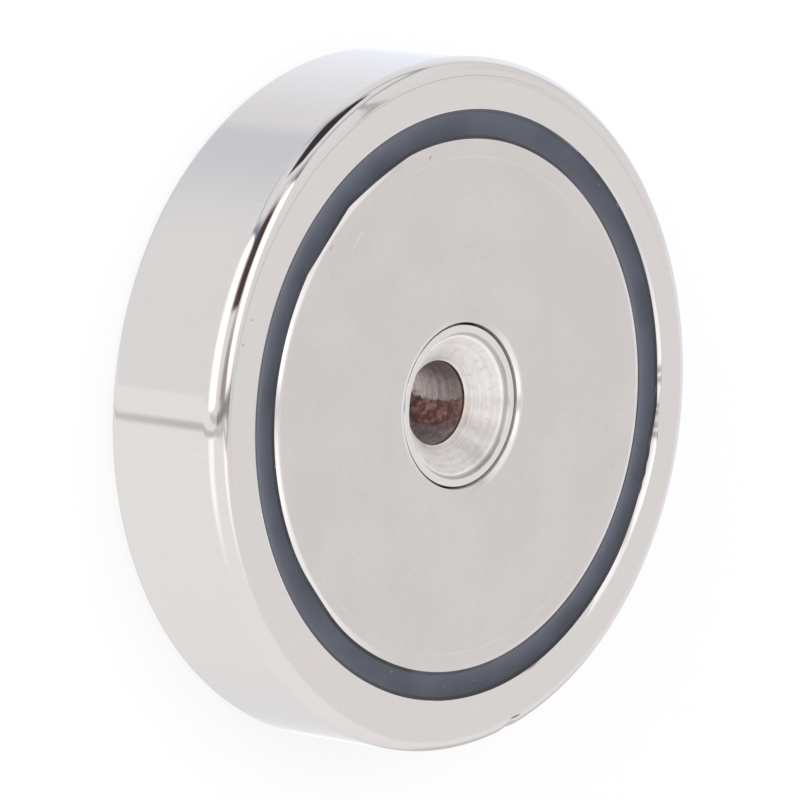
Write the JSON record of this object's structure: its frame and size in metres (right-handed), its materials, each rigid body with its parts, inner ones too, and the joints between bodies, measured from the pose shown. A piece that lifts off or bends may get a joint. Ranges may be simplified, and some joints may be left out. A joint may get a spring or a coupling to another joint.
{
  "type": "fishing magnet",
  "caption": "Round pot magnet for fishing: plated steel cup, ring magnet potted in dark resin, and a countersunk bush with a through hole.",
  "frame": {"origin": "centre of the pot's flat back, on the axis of the hole", "axes": "+Z along the axis, from the back to the pull face; the part is round, so X and Y are free"},
  "size_m": [0.075, 0.075, 0.016],
  "materials": {
    "pot_plating": "polished",
    "magnet_plating": "gloss",
    "potting_resin": "gloss",
    "turned_bush": "satin"
  },
  "bodies": {
    "root": {"steel_pot": "pot_plating", "ring_magnet": "magnet_plating", "resin_ring": "potting_resin", "centre_bush": "turned_bush"}
  },
  "joints": []
}
